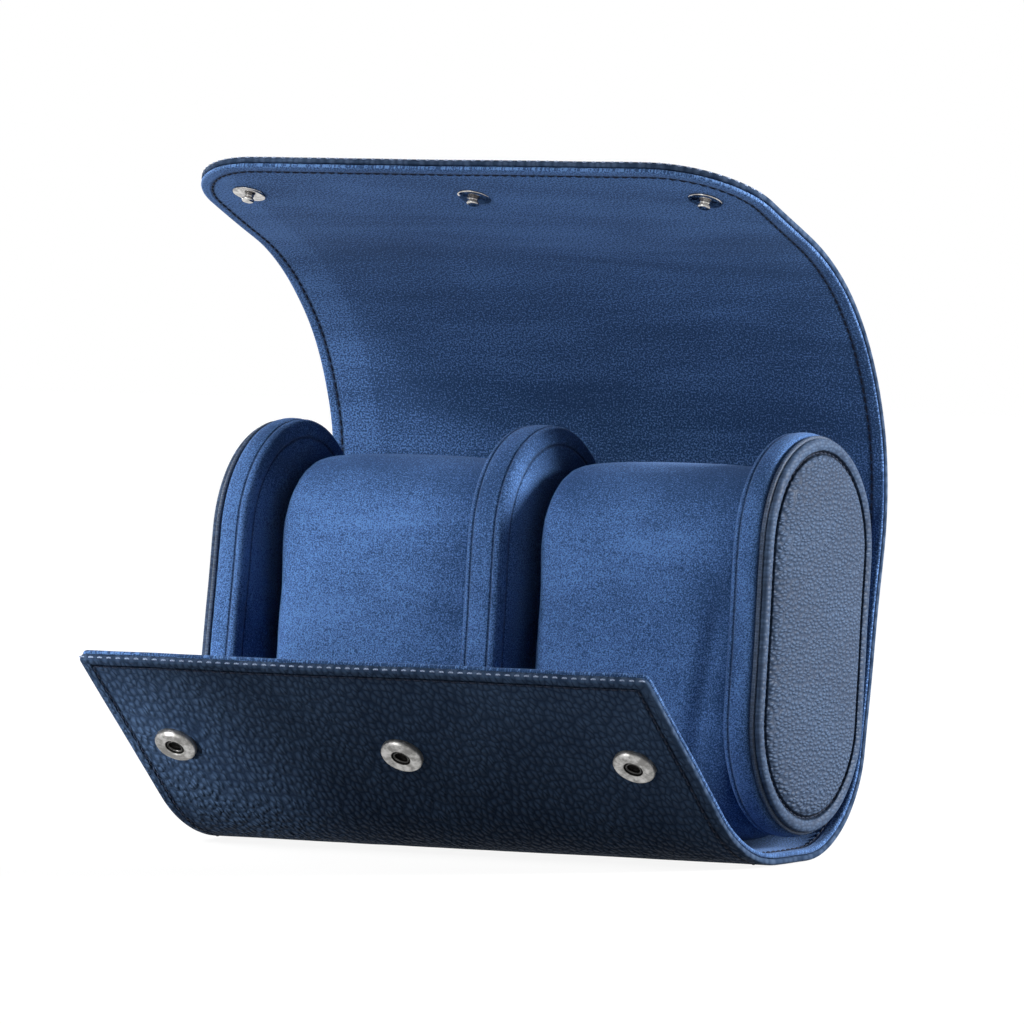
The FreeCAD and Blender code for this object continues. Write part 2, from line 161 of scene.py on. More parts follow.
def strip_skin(start, end, lip):
    """The face of a length of the wrap with its edges rolled through lip, a list of (inset, depth)."""
    rows, n = strip_rows(start, end, lip[0][0]), len(column_shares)
    spots = [(half * share, along, lip[0][1]) for along, half, _, _ in rows for share in column_shares]
    faces = [(j * n + i, j * n + i + 1, j * n + n + i + 1, j * n + n + i)
             for j in range(len(rows) - 1) for i in range(n - 1)]
    left = [(j * n, -across, ahead) for j, (_, _, across, ahead) in enumerate(rows)]
    right = [(j * n + n - 1, across, ahead) for j, (_, _, across, ahead) in enumerate(rows)]
    if end == wrap_length:
        last = (len(rows) - 1) * n
        chains = [left + [(last + i, 0, 1) for i in range(1, n - 1)] + right[::-1]]
    elif start == 0:
        chains = [left[::-1] + [(i, 0, -1) for i in range(1, n - 1)] + right]
    else:
        chains = [left, right]
    for chain in chains:
        before = [spot for spot, _, _ in chain]
        for inset, depth in lip[1:]:
            out, now = lip[0][0] - inset, []
            for spot, across, ahead in chain:
                x, along, _ = spots[spot]
                now.append(len(spots))
                spots.append((x + across * out, along + ahead * out, depth))
            faces += [(before[k], before[k + 1], now[k + 1], now[k]) for k in range(len(now) - 1)]
            before = now
    return spots, faces


def edge_path(inset, pitch):
    """Places for stitches all round the wrap, inset from its edge: x, metres along, and the way the row runs."""
    half, radius = wrap_width / 2 - inset, lid_corner - inset
    top, flank = wrap_length - inset, wrap_length - lid_corner
    runs = [((-half, inset), (half, inset)), ((half, inset), (half, flank)), (1, 0, 90),
            ((half - radius, top), (radius - half, top)), (-1, 90, 180), ((-half, flank), (-half, inset))]
    places = []
    for run in runs:
        if len(run) == 2:
            (x0, s0), (x1, s1) = run
            length = math.hypot(x1 - x0, s1 - s0)
            count, across, ahead = round(length / pitch), (x1 - x0) / length, (s1 - s0) / length
            for k in range(count):
                share = (k + 0.5) / count
                places.append((x0 + (x1 - x0) * share, s0 + (s1 - s0) * share, across, ahead))
        else:
            side, first, last = run
            count = round(radius * math.radians(last - first) / pitch)
            for k in range(count):
                a = math.radians(first + (last - first) * (k + 0.5) / count)
                places.append((side * (half - radius) + radius * math.cos(a), flank + radius * math.sin(a),
                               -math.sin(a), math.cos(a)))
    return places


def tube_faces(first, rings, sides):
    """Faces between rings of points, of which the first point is number first."""
    return [(a + k, a + (k + 1) % sides, a + sides + (k + 1) % sides, a + sides + k)
            for a in range(first, first + (rings - 1) * sides, sides) for k in range(sides)]


def add_stitch(points, faces, a, b, up, radius):
    """One stitch of thread from a to b, standing up a little from what it is sewn into."""
    axis = b - a
    side = axis.cross(up).normalized()
    first = len(points)
    for share, swell in ((0, 0.45), (0.14, 0.85), (0.5, 1), (0.86, 0.85), (1, 0.45)):
        middle = a + axis * share + up * radius * (0.45 - 1.1 * abs(2 * share - 1) ** 3)
        for k in range(6):
            turn = math.radians(60 * k)
            points.append(middle + (side * math.cos(turn) + up * math.sin(turn) * 0.8) * radius * swell)
    faces.extend(tube_faces(first, 5, 6))
    faces.append(tuple(first + k for k in range(5, -1, -1)))
    faces.append(tuple(first + 24 + k for k in range(6)))


def new_piece(name, points, faces, materials, face_materials=None, uvs=None, edges=None, outward=None):
    """A mesh object from points and faces; outward is a point and the way the face nearest to it looks."""
    mesh = bpy.data.meshes.new(name)
    mesh.from_pydata(points, [], faces)
    for material in materials:
        mesh.materials.append(material)
    if face_materials:
        mesh.polygons.foreach_set("material_index", face_materials)
    if uvs:
        layer = mesh.uv_layers.new(name="cut")
        for loop in mesh.loops:
            layer.data[loop.index].uv = uvs[loop.vertex_index]
    if edges:
        mesh.attributes.new("edge", "FLOAT", "POINT").data.foreach_set("value", edges)
    shape = bmesh.new()
    shape.from_mesh(mesh)
    bmesh.ops.recalc_face_normals(shape, faces=shape.faces[:])
    if outward:
        spot, way = Vector(outward[0]), Vector(outward[1])
        nearest = min((f for f in shape.faces if f.material_index == 0),
                      key=lambda f: (f.calc_center_median() - spot).length)
        if nearest.normal.dot(way) < 0:
            bmesh.ops.reverse_faces(shape, faces=[f for f in shape.faces if f.material_index == 0])
    for face in shape.faces:
        face.smooth = True
    shape.to_mesh(mesh)
    shape.free()
    made = bpy.data.objects.new(name, mesh)
    scene.collection.objects.link(made)
    return made


def add_node(tree, kind, links=None, **settings):
    """A shader node with its settings, and its inputs set or linked."""
    made = tree.nodes.new(kind)
    for key, value in settings.items():
        setattr(made, key, value)
    for socket, source in (links or {}).items():
        if isinstance(source, bpy.types.NodeSocket):
            tree.links.new(source, made.inputs[socket])
        else:
            made.inputs[socket].default_value = source
    return made


def new_group(name, inputs, outputs):
    """An empty shader group with its named sockets."""
    group = bpy.data.node_groups.new(name, "ShaderNodeTree")
    for label, kind, value in inputs:
        socket = group.interface.new_socket(label, in_out="INPUT", socket_type=kind)
        if value is not None:
            socket.default_value = value
    for label, kind in outputs:
        group.interface.new_socket(label, in_out="OUTPUT", socket_type=kind)
    return group, group.nodes.new("NodeGroupInput"), group.nodes.new("NodeGroupOutput")


def math_node(tree, operation, a, b=0.0, clamp=False):
    """One sum with numbers."""
    return add_node(tree, "ShaderNodeMath", {0: a, 1: b}, operation=operation, use_clamp=clamp).outputs[0]


def vector_node(tree, operation, a, b):
    """One sum with vectors."""
    return add_node(tree, "ShaderNodeVectorMath", {0: a, 1: b}, operation=operation).outputs[0]


def ramp_node(tree, value, low, high, to_low=0.0, to_high=1.0):
    """A smooth step of value between low and high."""
    limits = {"Value": value, "From Min": low, "From Max": high, "To Min": to_low, "To Max": to_high}
    return add_node(tree, "ShaderNodeMapRange", limits, interpolation_type="SMOOTHSTEP").outputs[0]


def noise_node(tree, place, scale, **more):
    """Soft noise, 0 to 1."""
    return add_node(tree, "ShaderNodeTexNoise", {"Vector": place, "Scale": scale, **more}).outputs[0]


def mix_node(tree, share, a, b):
    """A colour between a and b."""
    return add_node(tree, "ShaderNodeMix", {0: share, 6: a, 7: b}, data_type="RGBA").outputs[2]


def add_relief(tree, shader, height, distance, strength=1.0):
    """Small relief on a material."""
    lump = add_node(tree, "ShaderNodeBump", {"Height": height, "Distance": distance, "Strength": strength})
    tree.links.new(lump.outputs[0], shader.inputs["Normal"])


def new_material(name):
    """A material with its node tree and shader."""
    material = bpy.data.materials.new(name)
    material.use_nodes = True
    return material, material.node_tree, material.node_tree.nodes["Principled BSDF"]


grain_group, given, out = new_group(
    "pebbled grain", [("Vector", "NodeSocketVector", None), ("Cells", "NodeSocketFloat", 720.0)],
    [("Height", "NodeSocketFloat"), ("Crease", "NodeSocketFloat"), ("Tone", "NodeSocketFloat")])
tree, flat = grain_group, given.outputs["Vector"]
warp = add_node(tree, "ShaderNodeTexNoise", {"Vector": flat, "Scale": 300.0, "Detail": 1.0}).outputs["Color"]
warp = vector_node(tree, "SUBTRACT", warp, (0.5, 0.5, 0.5))
warp = vector_node(tree, "MULTIPLY", warp, (0.0011, 0.0011, 0.0011))
warp = vector_node(tree, "ADD", warp, flat)
pebbles = {"Vector": warp, "Scale": given.outputs["Cells"], "Randomness": 0.9}
cell, crown, each = (
    add_node(tree, "ShaderNodeTexVoronoi", pebbles | more, feature=feature, voronoi_dimensions="2D").outputs[output]
    for feature, more, output in (("DISTANCE_TO_EDGE", {}, "Distance"), ("SMOOTH_F1", {"Smoothness": 0.35}, "Distance"),
                                  ("F1", {}, "Color")))
each = add_node(tree, "ShaderNodeSeparateColor", {0: each}).outputs[0]
pores = noise_node(tree, flat, 5200.0, Detail=2.0)
broad = noise_node(tree, flat, 45.0, Detail=3.0)
puff = ramp_node(tree, crown, 0.62, 0.06)
lift = math_node(tree, "MULTIPLY", puff, ramp_node(tree, broad, 0.3, 0.7, 0.6, 1.0))
lift = math_node(tree, "MULTIPLY", lift, math_node(tree, "ADD", math_node(tree, "MULTIPLY", each, 0.25), 0.75))
lift = math_node(tree, "ADD", lift, math_node(tree, "MULTIPLY", pores, 0.05))
tree.links.new(lift, out.inputs["Height"])
# the crease mask makes the creases rougher and carries the painted shade in them
tree.links.new(ramp_node(tree, cell, 0.2, 0.0), out.inputs["Crease"])
tone = math_node(tree, "ADD", math_node(tree, "MULTIPLY", each, 0.2), ramp_node(tree, broad, 0.32, 0.68, 0.0, 0.35))
# each pebble's crown is painted paler: a painted highlight
tone = math_node(tree, "ADD", tone, math_node(tree, "MULTIPLY", puff, 0.4))
tree.links.new(tone, out.inputs["Tone"])

groove_group, given, out = new_group(
    "sewn groove", [("Edge", "NodeSocketFloat", 0.1), ("Inset", "NodeSocketFloat", 0.005),
                    ("Width", "NodeSocketFloat", 0.0008)], [("Groove", "NodeSocketFloat")])
tree = groove_group
off = math_node(tree, "ABSOLUTE", math_node(tree, "SUBTRACT", given.outputs["Edge"], given.outputs["Inset"]))
tree.links.new(ramp_node(tree, math_node(tree, "DIVIDE", off, given.outputs["Width"]), 1.0, 0.0), out.inputs["Groove"])


def leather_finish(name, cells, bump, stretch, shine, ring=stitch_inset, plain=0.0012):
    """Pebbled navy leather: painted shade in the creases and seam groove, a painted highlight on each crown, paler
    rubbed edges.
    """
    material, tree, shader = new_material(name)
    place = vector_node(tree, "MULTIPLY", add_node(tree, "ShaderNodeUVMap", uv_map="cut").outputs[0], stretch)
    grain = add_node(tree, "ShaderNodeGroup", {"Vector": place, "Cells": cells}, node_tree=grain_group)
    height, crease, tone = (grain.outputs[label] for label in ("Height", "Crease", "Tone"))
    edge = add_node(tree, "ShaderNodeAttribute", attribute_name="edge").outputs["Fac"]
    groove = add_node(tree, "ShaderNodeGroup", {"Edge": edge, "Inset": ring}, node_tree=groove_group).outputs[0]
    calm = ramp_node(tree, edge, plain * 0.6, plain * 1.2, 0.2, 1.0)
    shade = mix_node(tree, tone, leather_dark, leather_light)
    # painted shade in the pebbles' creases
    crease_shade = math_node(tree, "MULTIPLY", math_node(tree, "MULTIPLY", crease, 0.5), calm)
    shade = mix_node(tree, crease_shade, shade, crease_shade_colour)
    # the sewn groove is painted darker as well as pressed in: painted shade
    shade = mix_node(tree, math_node(tree, "MULTIPLY", groove, 0.55), shade, seam_shade_colour)
    rubbed = math_node(tree, "MULTIPLY", ramp_node(tree, edge, 0.0009, 0.0, 0.0, 0.4), height)
    shade = mix_node(tree, rubbed, shade, rubbed_colour)
    tree.links.new(shade, shader.inputs["Base Color"])
    rough = math_node(tree, "ADD", math_node(tree, "MULTIPLY", crease, 0.25),
                      math_node(tree, "ADD", math_node(tree, "MULTIPLY", tone, 0.1), 0.48))
    tree.links.new(rough, shader.inputs["Roughness"])
    height = math_node(tree, "SUBTRACT", math_node(tree, "MULTIPLY", height, calm),
                       math_node(tree, "MULTIPLY", groove, 1.6))
    add_relief(tree, shader, height, bump)
    shader.inputs["Specular IOR Level"].default_value = shine
    return material


def thread_finish(name, colour):
    """Twisted polyester thread: fine slanting strands, a little shine."""
    material, tree, shader = new_material(name)
    place = add_node(tree, "ShaderNodeTexCoord").outputs["Object"]
    strand = add_node(tree, "ShaderNodeTexWave", {"Vector": place, "Scale": 900.0, "Distortion": 2.0},
                      bands_direction="DIAGONAL").outputs[1]
    pale = tuple(min(1, c * 1.7 + 0.004) for c in colour[:3]) + (1,)
    tree.links.new(mix_node(tree, strand, colour, pale), shader.inputs["Base Color"])
    add_relief(tree, shader, strand, 0.00006)
    shader.inputs["Roughness"].default_value = 0.6
    shader.inputs["Specular IOR Level"].default_value = 0.1
    return material


wrap_leather = leather_finish("pebbled leather", 600.0, 0.00085, (1.0, 0.56, 1.0), 0.008)
thread = thread_finish("navy thread", thread_colour)
tick_thread = thread_finish("edge thread", tick_colour)

# each length crosses one bend: start, end, the bend, the bodies before and after it, and the solids it stands for
wrap_lengths = (
    ("flap", 0.0, 0.0767, 0.05185, "flap", "flap_lower", ("flap", "flap_crease")),
    ("flap_lower", 0.0767, 0.150, 0.10163, "flap_lower", "base", ("flap_lower", "base_crease")),
    ("back", 0.150, 0.2152, 0.19853, "base", "lid_rear", ("base", "lid_rear_crease")),
    ("lid_rear", 0.2152, 0.2483, 0.23182, "lid_rear", "lid_upper", ("lid_rear", "lid_upper_crease")),
    ("lid_upper", 0.2483, 0.2860, 0.26483, "lid_upper", "lid_top", ("lid_upper", "lid_top_crease")),
    ("lid_tip", 0.2860, wrap_length, 0.30722, "lid_top", "lid_front", ("lid_top", "lid_front_crease", "lid_front")))
bend_reach, bend_depth = 0.010, 0.0006
leather_lip = [(0.0012, 0), (0.0008, 0.00003), (0.0004, 0.00014), (0.00014, 0.00034), (0, 0.0006), (0, 0.0010),
               (0.00008, 0.0013), (0.0003, 0.00158), (0.0007, 0.00168), (0.0018, 0.0017)]
# under the flat base the stitches are sunk, so that the roll stands on its leather
base_sink, base_heading = 0.0004, 0.12
tick_half, tick_depth, tick_sink, lid_tick_reach, flap_tick_reach = 0.0009, 0.00045, 0.00022, 0.021, 0.0005


def sewn_strip(start, end, lip, depth, lift):
    """A length of the wrap's skin and the stitches in it: spots, points, faces and the faces' materials."""
    spots, faces = strip_skin(start, end, lip)
    points = [wrap_spot(*spot) for spot in spots]
    kinds = [0] * len(faces)
    for x, along, across, ahead in edge_path(stitch_inset, stitch_pitch):
        if start <= along < end or (along >= wrap_length > start and end == wrap_length):
            _, _, heading = wrap_point(along, 0)
            sunk = depth + (base_sink if lift > 0 and abs(heading) < base_heading else 0)
            a = wrap_spot(x - across * stitch_length / 2, along - ahead * stitch_length / 2, sunk)
            b = wrap_spot(x + across * stitch_length / 2, along + ahead * stitch_length / 2, sunk)
            add_stitch(points, faces, a, b, Vector((0, math.sin(heading), -math.cos(heading))) * lift, thread_radius)
    kinds += [1] * (len(faces) - len(kinds))
    return spots, points, faces, kinds


def flat_maps(spots, points):
    """Where each point lies on the flat strip, and how far in from its edge; stitches count as far in."""
    extra = len(points) - len(spots)
    uvs = [(x, along) for x, along, _ in spots] + [(0, 0)] * extra
    return uvs, [max(0.0, edge_distance(x, along)) for x, along, _ in spots] + [far_in] * extra


def hang_across(piece, bend):
    """Bakes the piece's placing into its points; the places either side of its bend are worked out but not used."""
    y0, z0, _ = wrap_point(bend - bend_reach, bend_depth)
    y1, z1, _ = wrap_point(bend + bend_reach, bend_depth)
    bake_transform(piece)


leather_pieces = []
for label, start, end, bend, before, after, solids in wrap_lengths:
    spots, points, faces, kinds = sewn_strip(start, end, leather_lip, 0.0, 1)
    if label in ("flap", "lid_tip"):
        # the rolled edge at either tip is whipped with short pale stitches
        for x, along, across, ahead in edge_path(0.0, stitch_pitch):
            if along < flap_tick_reach if label == "flap" else along > wrap_length - lid_tick_reach:
                a = wrap_spot(x - across * tick_half, along - ahead * tick_half, tick_depth)
                b = wrap_spot(x + across * tick_half, along + ahead * tick_half, tick_depth)
                _, _, heading = wrap_point(along, 0)
                outward = Vector((ahead, -across * math.cos(heading), -across * math.sin(heading)))
                a, b = a - outward * tick_sink, b - outward * tick_sink
                add_stitch(points, faces, a, b, outward, thread_radius)
        kinds += [2] * (len(faces) - len(kinds))
    uvs, edges = flat_maps(spots, points)
    y, z, heading = wrap_point((start + end) / 2, 0)
    piece = new_piece("leather_" + label, points, faces, [wrap_leather, thread, tick_thread], kinds, uvs, edges,
                      ((0, y, z), (0, math.sin(heading), -math.cos(heading))))
    nodes = [n for s in solids for n in ([s] if s.endswith("crease") else [s + "_leather", s + "_board"])]
    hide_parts(*nodes)
    hang_across(piece, bend)
    leather_pieces.append(piece)

# Lining of the wrap
# Mid-blue brushed suede over the whole inside, rolled over at the edges as a soft bead beside the leather's edge.
# It is glued to the boards and held by the same row of stitches, which draws a groove round it.
suede_dark, suede_light = (0.018, 0.046, 0.118, 1), (0.084, 0.180, 0.410, 1)
# the groove colour is painted shade in the sewn grooves; the fuzz colour is the rim's paler fuzz, partly a painted
# highlight
groove_shade_colour, fuzz_highlight_colour = (0.004, 0.009, 0.024, 1), (0.13, 0.23, 0.44, 1)
lining_lip = [(0.0016, 0.0030), (0.0011, 0.00303), (0.0007, 0.00298), (0.00035, 0.00282), (0.0002, 0.0026),
              (0.0002, 0.0023), (0.0004, 0.00195), (0.0009, 0.00176), (0.0016, 0.00174)]
turned_in, tip_turned_in = 0.005, 0.003

nap_group, given, out = new_group(
    "brushed nap",
    [("Vector", "NodeSocketVector", None), ("Streak", "NodeSocketVector", (14.0, 75.0, 75.0)),
     ("Depth", "NodeSocketFloat", 1.0), ("Level", "NodeSocketFloat", 0.45), ("Speck", "NodeSocketFloat", 1.0)],
    [("Tone", "NodeSocketFloat"), ("Height", "NodeSocketFloat")])
tree, flat = nap_group, given.outputs["Vector"]
swept = vector_node(tree, "MULTIPLY", flat, given.outputs["Streak"])
streaks = noise_node(tree, swept, 1.0, Detail=4.0, Roughness=0.6, Distortion=0.5)
patches = noise_node(tree, flat, 34.0, Detail=3.0, Distortion=0.6)
fibres = noise_node(tree, flat, 2800.0, Detail=2.0, Roughness=0.6)
fuzz = noise_node(tree, flat, 5200.0, Detail=1.0)
brushed = math_node(tree, "MULTIPLY", math_node(tree, "SUBTRACT", streaks, 0.5), 1.9)
brushed = math_node(tree, "ADD", brushed, math_node(tree, "MULTIPLY", math_node(tree, "SUBTRACT", patches, 0.5), 0.7))
brushed = math_node(tree, "MULTIPLY", brushed, given.outputs["Depth"])
speck = math_node(tree, "ADD", math_node(tree, "MULTIPLY", math_node(tree, "SUBTRACT", fibres, 0.5), 4.0),
                  math_node(tree, "MULTIPLY", math_node(tree, "SUBTRACT", fuzz, 0.5), 0.9))
speck = math_node(tree, "MULTIPLY", speck, given.outputs["Speck"])
tone = math_node(tree, "ADD", math_node(tree, "ADD", brushed, speck), given.outputs["Level"], clamp=True)
tree.links.new(tone, out.inputs["Tone"])
height = math_node(tree, "ADD", math_node(tree, "MULTIPLY", fibres, 0.7), math_node(tree, "MULTIPLY", fuzz, 0.3))
tree.links.new(height, out.inputs["Height"])


def suede_finish(name, streak, depth, level, painted_top_shading, insets=(), wrapped=False, shaded_roll_end=None):
    """Brushed blue suede: nap lying in paler and darker streaks, fine fibre, and painted shade in the grooves where it
    is sewn.

    The painted shading of the top gives where the level starts to change going up (along the strip for the wrapped
    suede), where it ends and by how much: a darker top is painted shade, a lighter one painted light. The wrapped suede
    is mapped as it was cut, with a coarser nap, a paler left edge of painted light and a paler fuzzy rim, partly real
    fuzz and partly a painted highlight. Towards its right end a cushion is painted darker: painted shade.
    """
    material, tree, shader = new_material(name)
    coarse, speck, up = (0.72, 1.7, 1) if wrapped else (1.0, 1.1, 2)
    if wrapped:
        place = add_node(tree, "ShaderNodeUVMap", uv_map="cut").outputs[0]
    else:
        place = add_node(tree, "ShaderNodeTexCoord").outputs["Object"]
    nap = add_node(tree, "ShaderNodeGroup", {
        "Vector": vector_node(tree, "MULTIPLY", place, (coarse,) * 3), "Streak": [share / coarse for share in streak],
        "Depth": depth, "Speck": speck}, node_tree=nap_group)
    begin, finish, change = painted_top_shading
    spread = add_node(tree, "ShaderNodeSeparateXYZ", {0: place})
    # the level changes going up: a darker top is painted shade, a lighter one painted light
    across, level = spread.outputs[0], ramp_node(tree, spread.outputs[up], begin, finish, level, level + change)
    if wrapped:
        # the lining's left edge is painted paler: painted light from the left
        level = math_node(tree, "ADD", level, ramp_node(tree, across, -0.066, -0.0695, 0.0, 0.3))
    # each cushion is painted darker towards its right end: painted shade
    if shaded_roll_end:
        middle, begin, finish, change = shaded_roll_end
        middle = math_node(tree, "MULTIPLY", math_node(tree, "SIGN", across), middle)
        across = math_node(tree, "SUBTRACT", across, middle)
        level = math_node(tree, "ADD", level, ramp_node(tree, across, begin, finish, 0.0, change))
    tree.links.new(level, nap.inputs["Level"])
    shade, height = mix_node(tree, nap.outputs["Tone"], suede_dark, suede_light), nap.outputs["Height"]
    if insets:
        edge = add_node(tree, "ShaderNodeAttribute", attribute_name="edge").outputs["Fac"]
    # each sewn groove is painted darker as well as pressed in: painted shade
    for inset, width in insets:
        groove = add_node(tree, "ShaderNodeGroup", {"Edge": edge, "Inset": inset, "Width": width},
                          node_tree=groove_group).outputs[0]
        shade = mix_node(tree, math_node(tree, "MULTIPLY", groove, 0.6), shade, groove_shade_colour)
        height = math_node(tree, "SUBTRACT", height, math_node(tree, "MULTIPLY", groove, 2.5))
    if wrapped:
        # the rim's paler fuzz is partly real fuzz and partly a painted highlight
        pale = math_node(tree, "MULTIPLY", ramp_node(tree, edge, 0.0018, 0.0002, 0.0, 0.35), nap.outputs["Tone"])
        shade = mix_node(tree, pale, shade, fuzz_highlight_colour)
    tree.links.new(shade, shader.inputs["Base Color"])
    add_relief(tree, shader, height, 0.00022, 0.8)
    shader.inputs["Roughness"].default_value = 0.92
    shader.inputs["Specular IOR Level"].default_value = 0.12
    shader.inputs["Sheen Weight"].default_value = 0.15
    shader.inputs["Sheen Roughness"].default_value = 0.5
    shader.inputs["Sheen Tint"].default_value = (0.35, 0.55, 1.0, 1)
    return material


# the lining is painted much darker than the cushions' suede, painted shade inside the lid, and lighter towards the
# lid's tip, painted light
wrap_suede = suede_finish("brushed suede", (13.0, 80.0, 80.0), 0.9, 0.06, (0.262, 0.335, 0.30),
                          ((stitch_inset, 0.0010),), wrapped=True)
for (label, start, end, bend, before, after, solids), outside in zip(wrap_lengths, leather_pieces):
    spots, points, faces, kinds = sewn_strip(start, end, lining_lip, wrap_thickness + 0.0001, -1)
    uvs, edges = flat_maps(spots, points)
    y, z, heading = wrap_point((start + end) / 2, wrap_thickness)
    piece = new_piece("lining_" + label, points, faces, [wrap_suede, thread], kinds, uvs, edges,
                      ((0, y, z), (0, -math.sin(heading), math.cos(heading))))
    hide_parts(*[s + "_lining" for s in solids if not s.endswith("crease")])
    hang_across(piece, bend)
    size = (wrap_width + turned_in, end - start + (tip_turned_in if label in ("flap", "lid_tip") else 0))

# End cheeks
# Each is a board core covered in suede round its rim and on its inner face, glued upright on the base.
# Its outer face is a padded oval of the wrap's leather with a sewn ring, set in a leather piping.
cheek_low, cheek_high, cheek_radius = Vector((0.001738, 0.0362)), Vector((0.006182, 0.078769)), 0.0302
cheek_inner, lean_middle = 0.0720, 0.066
pad_ring, ring_pitch, ring_stitch, ring_height = 0.0049, 0.0023, 0.74, 0.0095
piping_inset, piping_out, piping_radius = 0.0011, 0.0083, 0.00062
rim_seams, rim_start, face_depth = ((0.0048, 0.0006), (0.0320, 0.0005)), 0.030, 0.0004


def stadium(inset, centres=(cheek_low, cheek_high), radius=cheek_radius, straight=14, arc=40):
    """The cheek's outline seen from the side, inset from its edge, as points (y, z)."""
    low, high = centres
    axis = (high - low).normalized()
    front = Vector((-axis.y, axis.x))
    r = max(radius - inset, 0.00002)
    spots = []
    for k in range(arc):
        a = math.pi * k / arc
        spots.append(high + (front * math.cos(a) + axis * math.sin(a)) * r)
    for k in range(straight):
        spots.append(high.lerp(low, k / straight) - front * r)
    for k in range(arc):
        a = math.pi * (1 + k / arc)
        spots.append(low + (front * math.cos(a) + axis * math.sin(a)) * r)
    for k in range(straight):
        spots.append(low.lerp(high, k / straight) + front * r)
    return spots


def oval_loft(rings, place, centres=(cheek_low, cheek_high), radius=cheek_radius, flat_map=True, edge_of=None):
    """A skin through oval rings: each ring is (inset, x). Gives points, faces, uvs and distances for grooves."""
    points, uvs, edges = [], [], []
    for inset, x in rings:
        outline, round_it = stadium(inset, centres, radius), 0.0
        for k, spot in enumerate(outline):
            wobble = 0.00012 * noise.noise(Vector((place * 9, spot.x * 60, spot.y * 60)))
            points.append(Vector((x * place + wobble, spot.x, spot.y)))
            uvs.append((spot.x, spot.y) if flat_map else (x * place, round_it))
            edges.append(edge_of(inset, x) if edge_of else far_in)
            round_it += (outline[(k + 1) % len(outline)] - spot).length
    return points, tube_faces(0, len(rings), len(outline)), uvs, edges


cheek_rings = [(cheek_radius, 0), (0.024, 0), (0.016, -0.00015), (0.009, -0.0002), (0.0062, -0.00015), (0.0052, 0.0),
               (0.0048, 0.0001), (0.0044, 0.0), (0.0034, -0.00015), (0.0022, -0.0001), (0.0013, 0.0001),
               (0.0007, 0.00035), (0.00025, 0.0008), (0.00005, 0.0013), (0.0001, 0.0018), (0.00014, 0.002),
               (0.0001, 0.0022), (-0.00005, 0.0027), (-0.0002, 0.0036), (-0.00025, 0.0045), (-0.0002, 0.0055),
               (0, 0.0064), (0.0003, 0.0070), (0.0009, 0.0073), (0.0018, 0.0074), (0.0034, 0.0074)]
pad_rings = [(0.0024, 0.0080), (0.0016, 0.0086), (0.0012, 0.0092), (0.0012, 0.0098), (0.0016, 0.0103),
             (0.0024, 0.0106), (0.0034, 0.0105), (0.0042, 0.0101), (0.0047, 0.0096), (pad_ring, 0.0094),
             (0.0051, 0.0096), (0.0057, 0.0102), (0.0068, 0.0108), (0.0088, 0.0112), (0.012, 0.0115),
             (0.017, 0.0117), (0.023, 0.0118), (cheek_radius, 0.0118)]
piping_rings = [(piping_inset + piping_radius * math.cos(math.radians(a)),
                 piping_out + piping_radius * math.sin(math.radians(a))) for a in range(0, 361, 30)]
# the cheek's suede is painted darker towards its top: painted shade
cheek_suede = suede_finish("cheek suede", (60.0, 40.0, 26.0), 0.9, 0.42, (0.088, 0.106, -0.3), rim_seams)
cheek_leather = leather_finish("cheek leather", 980.0, 0.00058, (0.50, 1.0, 1.0), 0.12, pad_ring, 0.0056)
piping_leather = leather_finish("piping leather", 1500.0, 0.00008, (1.0, 1.0, 1.0), 0.3)


def cheek_edge(inset, x):
    """Distance for the cheek's grooves: in from the rim on its face, and 30 mm more along the rim."""
    return inset if x < cheek_inner + face_depth else rim_start + (x - cheek_inner)


def lean_in(points, share):
    """Tilts a cheek's points sideways about the middle of its height."""
    return [p + Vector((share * (p.z - lean_middle), 0, 0)) for p in points]


